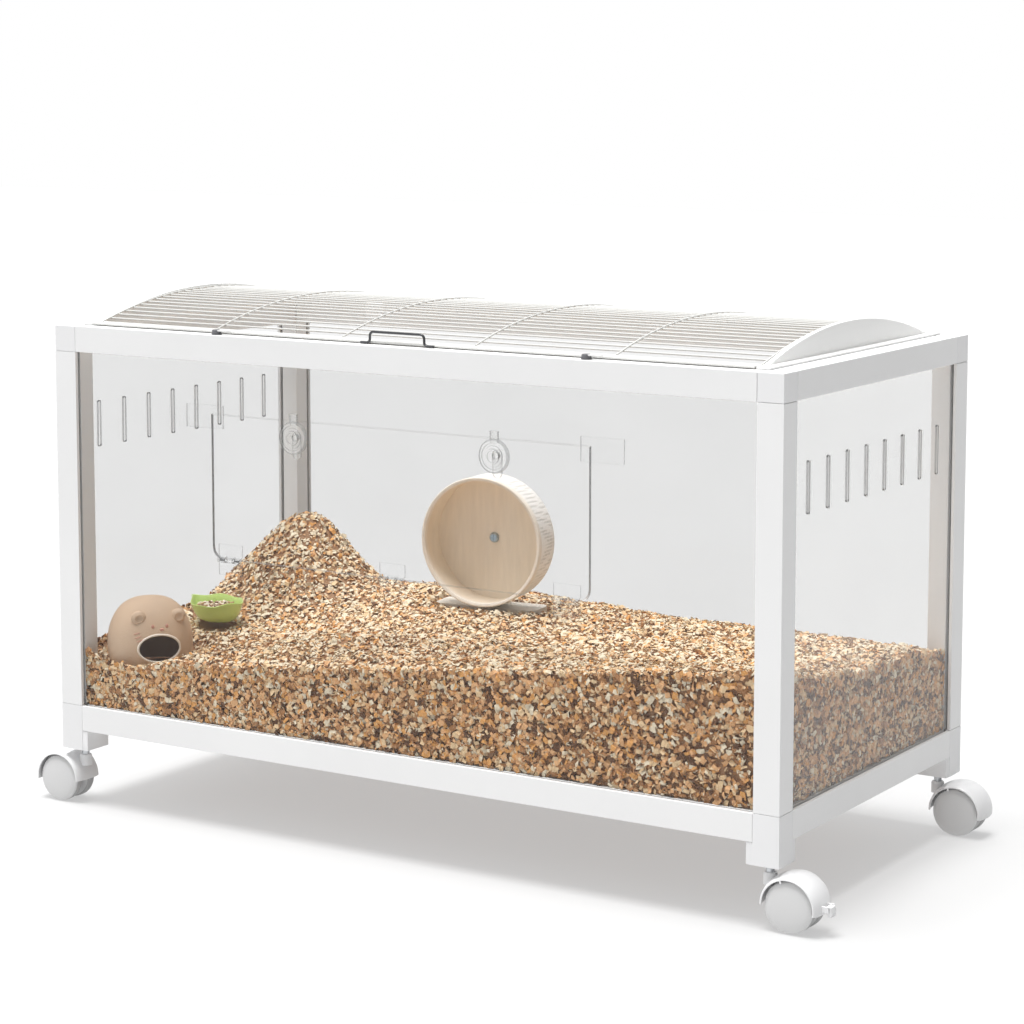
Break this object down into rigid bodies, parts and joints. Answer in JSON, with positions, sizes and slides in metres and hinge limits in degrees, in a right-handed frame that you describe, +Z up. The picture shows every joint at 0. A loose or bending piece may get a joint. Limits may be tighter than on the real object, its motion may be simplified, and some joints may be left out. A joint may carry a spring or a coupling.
{
  "type": "hamster cage",
  "caption": "Rectangular clear-panelled rodent cage on swivel casters, with an arched wire lid, a front access door, vent slots, a running wheel, a hide, a bowl and bedding.",
  "frame": {"origin": "on the floor, under the middle of the cage", "axes": "+X to the viewer's right along the front, +Y to the back, +Z up"},
  "size_m": [1.112, 0.4896, 0.6368],
  "materials": {
    "white_profile": "satin",
    "white_connector": "satin",
    "clear_acrylic": "polished",
    "white_lid": "satin",
    "white_wire": "semi-gloss enamel",
    "dark_wire": "semi-gloss",
    "latch_grey": "satin",
    "caster_white": "satin",
    "caster_grey": "satin",
    "pale_wood": "sanded",
    "zinc_bolt": "zinc plated",
    "leaf_green": "glossy",
    "sand_ceramic": "matt glaze",
    "wood_shavings": "loose shavings"
  },
  "bodies": {
    "root": {"back_bottom_rail": "white_profile", "back_left_foot": "white_connector", "back_left_post": "white_profile", "back_left_top_corner": "white_connector", "back_panel": "clear_acrylic", "back_right_foot": "white_connector", "back_right_post": "white_profile", "back_right_top_corner": "white_connector", "back_top_rail": "white_profile", "bear_house": "sand_ceramic", "bedding": "wood_shavings", "door_hinge_left_panel_leaf": "clear_acrylic", "door_hinge_middle_panel_leaf": "clear_acrylic", "door_hinge_right_panel_leaf": "clear_acrylic", "door_stop_left": "clear_acrylic", "door_stop_right": "clear_acrylic", "floor_panel": "clear_acrylic", "food_bowl": "leaf_green", "front_bottom_rail": "white_profile", "front_left_foot": "white_connector", "front_left_post": "white_profile", "front_left_top_corner": "white_connector", "front_panel": "clear_acrylic", "front_right_foot": "white_connector", "front_right_post": "white_profile", "front_right_top_corner": "white_connector", "front_top_rail": "white_profile", "left_bottom_rail": "white_profile", "left_panel": "clear_acrylic", "left_top_rail": "white_profile", "lid_clip_left": "white_lid", "lid_clip_right": "white_lid", "right_bottom_rail": "white_profile", "right_panel": "clear_acrylic", "right_top_rail": "white_profile", "wheel_axle_bolt": "zinc_bolt", "wheel_stand": "pale_wood"},
    "door": {"front_door": "clear_acrylic", "door_hinge_left_door_leaf": "clear_acrylic", "door_hinge_middle_door_leaf": "clear_acrylic", "door_hinge_right_door_leaf": "clear_acrylic"},
    "door_latch_left": {"door_latch_left": "clear_acrylic"},
    "door_latch_right": {"door_latch_right": "clear_acrylic"},
    "lid": {"lid_mesh": "white_wire", "lid_end_plate_left": "white_lid", "lid_end_plate_right": "white_lid", "lid_handle": "dark_wire"},
    "lid_button_left": {"lid_latch_left": "latch_grey"},
    "lid_button_right": {"lid_latch_right": "latch_grey"},
    "caster_front_left": {"caster_front_left_body": "caster_white"},
    "wheels_front_left": {"caster_front_left_wheels": "caster_grey"},
    "caster_front_right": {"caster_front_right_body": "caster_white"},
    "wheels_front_right": {"caster_front_right_wheels": "caster_grey"},
    "caster_back_left": {"caster_back_left_body": "caster_white"},
    "wheels_back_left": {"caster_back_left_wheels": "caster_grey"},
    "caster_back_right": {"caster_back_right_body": "caster_white"},
    "wheels_back_right": {"caster_back_right_wheels": "caster_grey"},
    "brake_front_right": {"caster_front_right_brake_lever": "caster_white"},
    "brake_back_left": {"caster_back_left_brake_lever": "caster_white"},
    "drum": {"running_wheel": "pale_wood"}
  },
  "joints": [
    {"name": "door_swing", "type": "hinge", "parent": "root", "child": "door", "pos_m": [0, -0.2414, 0.333], "axis": [1, 0, 0], "range_deg": [0, 170]},
    {"name": "door_latch_left_turn", "type": "hinge", "parent": "door", "child": "door_latch_left", "pos_m": [-0.139, -0.2374, 0.487], "axis": [0, 1, 0], "range_deg": [0, 180]},
    {"name": "door_latch_right_turn", "type": "hinge", "parent": "door", "child": "door_latch_right", "pos_m": [0.139, -0.2374, 0.487], "axis": [0, 1, 0], "range_deg": [0, 180]},
    {"name": "lid_swing", "type": "hinge", "parent": "root", "child": "lid", "pos_m": [0, 0.2251, 0.6045], "axis": [-1, 0, 0], "range_deg": [0, 95]},
    {"name": "lid_button_left_turn", "type": "hinge", "parent": "root", "child": "lid_button_left", "pos_m": [-0.255, -0.2339, 0.602], "axis": [0, 0, 1], "range_deg": [0, 90]},
    {"name": "lid_button_right_turn", "type": "hinge", "parent": "root", "child": "lid_button_right", "pos_m": [0.255, -0.2339, 0.602], "axis": [0, 0, 1], "range_deg": [0, 90]},
    {"name": "caster_front_left_swivel", "type": "hinge", "parent": "root", "child": "caster_front_left", "pos_m": [-0.48, -0.2224, 0], "axis": [0, 0, 1], "continuous": true},
    {"name": "caster_front_left_roll", "type": "hinge", "parent": "caster_front_left", "child": "wheels_front_left", "pos_m": [-0.51, -0.2224, 0.02875], "axis": [0, 1, 0], "continuous": true},
    {"name": "caster_front_right_swivel", "type": "hinge", "parent": "root", "child": "caster_front_right", "pos_m": [0.48, -0.2224, 0], "axis": [0, 0, 1], "continuous": true},
    {"name": "caster_front_right_roll", "type": "hinge", "parent": "caster_front_right", "child": "wheels_front_right", "pos_m": [0.51, -0.2224, 0.02875], "axis": [0, 1, 0], "continuous": true},
    {"name": "caster_back_left_swivel", "type": "hinge", "parent": "root", "child": "caster_back_left", "pos_m": [-0.48, 0.2236, 0], "axis": [0, 0, 1], "continuous": true},
    {"name": "caster_back_left_roll", "type": "hinge", "parent": "caster_back_left", "child": "wheels_back_left", "pos_m": [-0.51, 0.2236, 0.02875], "axis": [0, 1, 0], "continuous": true},
    {"name": "caster_back_right_swivel", "type": "hinge", "parent": "root", "child": "caster_back_right", "pos_m": [0.48, 0.2236, 0], "axis": [0, 0, 1], "continuous": true},
    {"name": "caster_back_right_roll", "type": "hinge", "parent": "caster_back_right", "child": "wheels_back_right", "pos_m": [0.51, 0.2236, 0.02875], "axis": [0, 1, 0], "continuous": true},
    {"name": "brake_front_right_press", "type": "hinge", "parent": "caster_front_right", "child": "brake_front_right", "pos_m": [0.55, -0.2224, 0.031], "axis": [0, 1, 0], "range_deg": [0, 25]},
    {"name": "brake_back_left_press", "type": "hinge", "parent": "caster_back_left", "child": "brake_back_left", "pos_m": [-0.55, 0.2236, 0.031], "axis": [0, -1, 0], "range_deg": [0, 25]},
    {"name": "running_wheel_spin", "type": "hinge", "parent": "root", "child": "drum", "pos_m": [-0.054, 0.031, 0.331], "axis": [0.1219, -0.9925, 0], "continuous": true}
  ]
}
